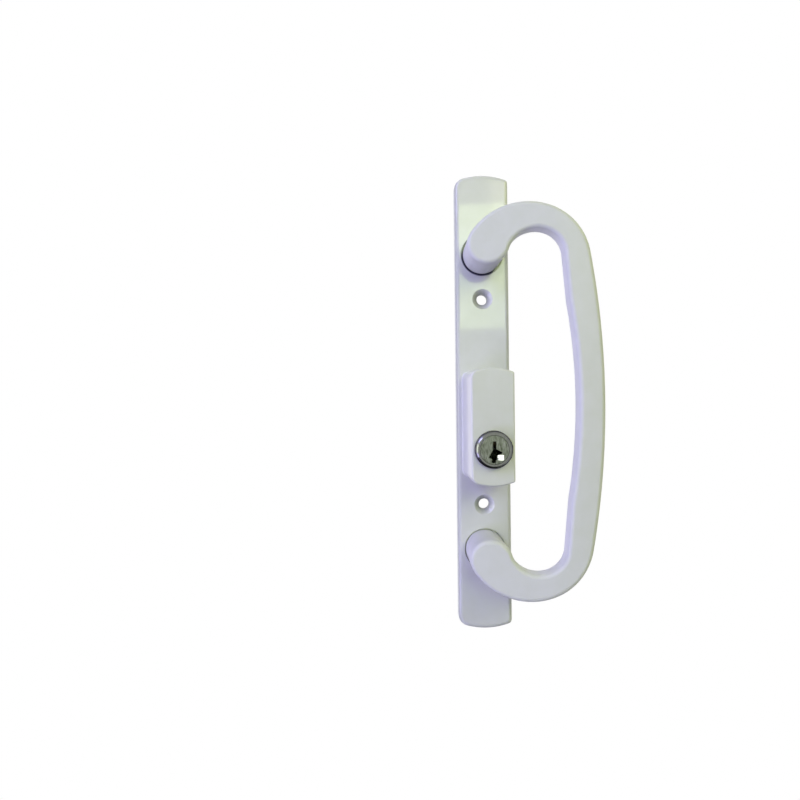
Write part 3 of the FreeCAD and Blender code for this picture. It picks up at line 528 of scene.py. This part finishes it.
# %% [markdown]
# The cylinder's collar is polished and plated. Its plug is duller and darker, scratched up and down by years
# of keys. Pins and cover strip are brass, and screws, clip, blade and retaining plate are zinc-plated steel.

# %% Metals
LINE_STRENGTH = 0.3
METALS = {  # colour, line colour, scale of the lines, their amount, roughness from and to, and their height
    "collar_chrome": (
        (0.22, 0.23, 0.21, 1), (0.09, 0.09, 0.09, 1), (2500, 2500, 900), 0.7, (0.13, 0.28), 0.00001
    ),
    "plug_metal": (
        (0.25, 0.265, 0.245, 1), (0.04, 0.045, 0.035, 1), (1700, 1700, 420), 1.0, (0.22, 0.42), 0.00002
    ),
    "brass": (
        (0.70, 0.52, 0.25, 1), (0.52, 0.36, 0.15, 1), (900, 900, 9000), 0.6, (0.2, 0.4), 0.00001
    ),
    "plated_steel": (
        (0.55, 0.56, 0.57, 1), (0.42, 0.42, 0.40, 1), (2500, 2500, 2500), 0.6, (0.25, 0.45), 0.00001
    ),
}


def make_metal(name, colour, line_colour, scale, amount, roughness, height):
    """Metal with fine lines."""
    material, tree, shader = new_material(name)
    values = {
        "Colour": colour,
        "Line Colour": line_colour,
        "Scale": scale,
        "Line Amount": amount,
        "Low Roughness": roughness[0],
        "High Roughness": roughness[1],
    }
    lines = add(tree, "ShaderNodeGroup", values, node_tree=fine_lines).outputs
    fill(tree, shader.inputs["Base Color"], lines["Colour"])
    fill(tree, shader.inputs["Roughness"], lines["Roughness"])
    fill(tree, shader.inputs["Metallic"], 1.0)
    fill(tree, shader.inputs["Normal"], bump(tree, lines["Height"], LINE_STRENGTH, height))
    return material


metals = {name: make_metal(name, *values) for name, values in METALS.items()}
print("metals:", *metals)

# %% [markdown]
# Keys rub the slanted lead-in beside the keyway, and its brighter metal is also a painted glint. Painted
# shade darkens the mouth of the keyway and the collar's outer edge.

# %% Wear, painted glint and painted shade on the cylinder
RUBBED_METAL_AND_GLINT = {"Base Color": (0.85, 0.86, 0.83, 1), "Roughness": 0.2}
LEAD_IN = [((1.2, 4.1), (-40.95, -38.8), (-25.2, -22.9))]  # box in millimetres
MOUTH_PAINTED_SHADE = {"Base Color": (0.008, 0.008, 0.007, 1), "Roughness": 0.5}
MOUTH_SIDES = (0.65 * MILLIMETRE, 0.95 * MILLIMETRE)  # from the middle of the keyway's upper slot
MOUTH_TOP = (-17.15 * MILLIMETRE, -16.75 * MILLIMETRE)
MOUTH_BOTTOM = (-21.0 * MILLIMETRE, -20.4 * MILLIMETRE)
MOUTH_DEPTH = (-40.5 * MILLIMETRE, -40.0 * MILLIMETRE)
COLLAR_PAINTED_SHADE = {"Base Color": (0.045, 0.045, 0.05, 1), "Roughness": 0.35}
CYLINDER_AXIS = (0.0, 0.0, -20.7 * MILLIMETRE)
COLLAR_EDGE = (7.6 * MILLIMETRE, 7.9 * MILLIMETRE)  # distances from the axis

plug_tree = metals["plug_metal"].node_tree
# Brighter, smoother metal on the lead-in: rubbed by keys, and also a painted glint.
lay_over(metals["plug_metal"], inside(plug_tree, LEAD_IN), RUBBED_METAL_AND_GLINT)
# Painted shade round the mouth of the keyway's upper slot, near black, so the slot looks wider than its
# shape.
mouth = [
    spread(plug_tree, math_node(plug_tree, "ABSOLUTE", along(plug_tree, "X")), 1.0, 0.0, *MOUTH_SIDES),
    spread(plug_tree, along(plug_tree, "Z"), 1.0, 0.0, *MOUTH_TOP),
    spread(plug_tree, along(plug_tree, "Z"), 0.0, 1.0, *MOUTH_BOTTOM),
    spread(plug_tree, along(plug_tree, "Y"), 1.0, 0.0, *MOUTH_DEPTH),
]
lay_over(metals["plug_metal"], combine(plug_tree, "MULTIPLY", mouth), MOUTH_PAINTED_SHADE)

# Painted shade on the collar's outer edge, in place of the dark gap and shadow round it.
collar_tree = metals["collar_chrome"].node_tree
edge = spread(collar_tree, from_axis(collar_tree, CYLINDER_AXIS), 0.0, 1.0, *COLLAR_EDGE)
lay_over(metals["collar_chrome"], edge, COLLAR_PAINTED_SHADE)
print("wear and dirt on plug and collar")

# %% [markdown]
# The solids take their finishes by name. All pins are brass, and what isn't named is plated steel.

# %% Put the finishes on the solids
FINISHES = {
    "escutcheon": plate_enamel,
    "pull_handle": pull_enamel,
    "cylinder_shell": metals["collar_chrome"],
    "key_plug": metals["plug_metal"],
    "chamber_cover": metals["brass"],
}

for name, solid in nodes.items():
    usual = metals["brass"] if "_pin_" in name else metals["plated_steel"]
    solid.data.materials.clear()
    solid.data.materials.append(FINISHES.get(name, usual))
print(len(nodes), "solids finished")

# %% [markdown]
# ## Pin springs
# Five small coils press the pins down. Round wire on a helix is a job for geometry nodes: a spiral is lifted
# along its length, slowly in the dead turns at both ends, a round wire follows it, and the coil is placed
# five times.

# %% Pin springs
SPRING_NODES = [f"pin_spring_{i}" for i in range(1, 6)]
WIRE_DIAMETER = 0.00036
SPRING_TURNS = 5.0
POINTS_PER_TURN = 28
WIRE_SIDES = 10
SPRING_SIZES = {
    "Coil Radius": "NodeSocketFloat",
    "Wire Radius": "NodeSocketFloat",
    "Length": "NodeSocketFloat",
    "Turns": "NodeSocketFloat",
    "Count": "NodeSocketInt",
    "First": "NodeSocketVector",
    "Step": "NodeSocketVector",
}


def make_spring_tree(material):
    """Geometry nodes for a row of coil springs."""
    tree = bpy.data.node_groups.new("pin_springs", "GeometryNodeTree")
    for label, kind in SPRING_SIZES.items():
        tree.interface.new_socket(label, in_out="INPUT", socket_type=kind)
    tree.interface.new_socket("Geometry", in_out="OUTPUT", socket_type="NodeSocketGeometry")
    size = add(tree, "NodeGroupInput").outputs
    end = add(tree, "NodeGroupOutput")
    spiral = add(
        tree,
        "GeometryNodeCurveSpiral",
        {
            "Resolution": POINTS_PER_TURN,
            "Rotations": size["Turns"],
            "Start Radius": size["Coil Radius"],
            "End Radius": size["Coil Radius"],
            "Height": 0.0,
        },
    )
    share = add(tree, "GeometryNodeSplineParameter").outputs["Factor"]
    dead = math_node(tree, "DIVIDE", 1.0, size["Turns"])
    live_end = math_node(tree, "SUBTRACT", 1.0, dead)
    wire = math_node(tree, "MULTIPLY", size["Wire Radius"], 2.0)
    dead_height = math_node(tree, "MULTIPLY", wire, 3.0)  # two dead turns and half a wire at each end
    live_rise = math_node(tree, "SUBTRACT", size["Length"], dead_height)
    lifts = [
        spread(tree, share, 0.0, wire, 0.0, dead),
        size["Wire Radius"],
        spread(tree, share, 0.0, live_rise, dead, live_end),
        spread(tree, share, 0.0, wire, live_end, 1.0),
    ]
    offset = add(tree, "ShaderNodeCombineXYZ", {"Z": combine(tree, "ADD", lifts)})
    path = add(
        tree, "GeometryNodeSetPosition", {"Geometry": spiral.outputs[0], "Offset": offset.outputs[0]}
    )
    section = add(
        tree, "GeometryNodeCurvePrimitiveCircle", {"Resolution": WIRE_SIDES, "Radius": size["Wire Radius"]}
    )
    coil = add(
        tree,
        "GeometryNodeCurveToMesh",
        {"Curve": path.outputs[0], "Profile Curve": section.outputs[0], "Fill Caps": True},
    )
    row = add(
        tree,
        "GeometryNodeMeshLine",
        {"Count": size["Count"], "Start Location": size["First"], "Offset": size["Step"]},
        mode="OFFSET",
    )
    copies = add(
        tree, "GeometryNodeInstanceOnPoints", {"Points": row.outputs[0], "Instance": coil.outputs[0]}
    )
    solid = add(tree, "GeometryNodeRealizeInstances", {"Geometry": copies.outputs[0]})
    smooth = add(tree, "GeometryNodeSetShadeSmooth", {"Geometry": solid.outputs[0]})
    finished = add(
        tree, "GeometryNodeSetMaterial", {"Geometry": smooth.outputs[0], "Material": material}
    )
    fill(tree, end.inputs[0], finished.outputs[0])
    return tree


def plain_mesh(name, tree, values):
    """Runs a geometry tree once and keeps the result as an ordinary mesh object."""
    carrier = bpy.data.objects.new(name + "_carrier", bpy.data.meshes.new(name + "_carrier"))
    bpy.context.scene.collection.objects.link(carrier)
    modifier = carrier.modifiers.new("tree", "NODES")
    modifier.node_group = tree
    for item in tree.interface.items_tree:
        if item.in_out == "INPUT":
            modifier[item.identifier] = values[item.name]
    ready = carrier.evaluated_get(bpy.context.evaluated_depsgraph_get())
    mesh = bpy.data.meshes.new_from_object(ready)
    mesh.name = name
    bpy.data.objects.remove(carrier)
    piece = bpy.data.objects.new(name, mesh)
    bpy.context.scene.collection.objects.link(piece)
    return piece


spring_tree = make_spring_tree(metals["plated_steel"])
print("spring tree:", len(spring_tree.nodes), "nodes")

# %% [markdown]
# The springs take the places of the plain coils in the solids: their width, length and spacing come from the
# boxes of the first two.

# %% Place the springs
first_low, first_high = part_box(SPRING_NODES[0])
second_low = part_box(SPRING_NODES[1])[0]
middle = (first_low + first_high) / 2
springs = plain_mesh(
    "pin_springs",
    spring_tree,
    {
        "Coil Radius": (first_high.x - first_low.x - WIRE_DIAMETER) / 2,
        "Wire Radius": WIRE_DIAMETER / 2,
        "Length": first_high.z - first_low.z,
        "Turns": SPRING_TURNS,
        "Count": len(SPRING_NODES),
        "First": Vector((middle.x, middle.y, first_low.z)),
        "Step": second_low - first_low,
    },
)
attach(springs, "handle")
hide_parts(*SPRING_NODES)
print("springs:", len(springs.data.polygons), "faces")
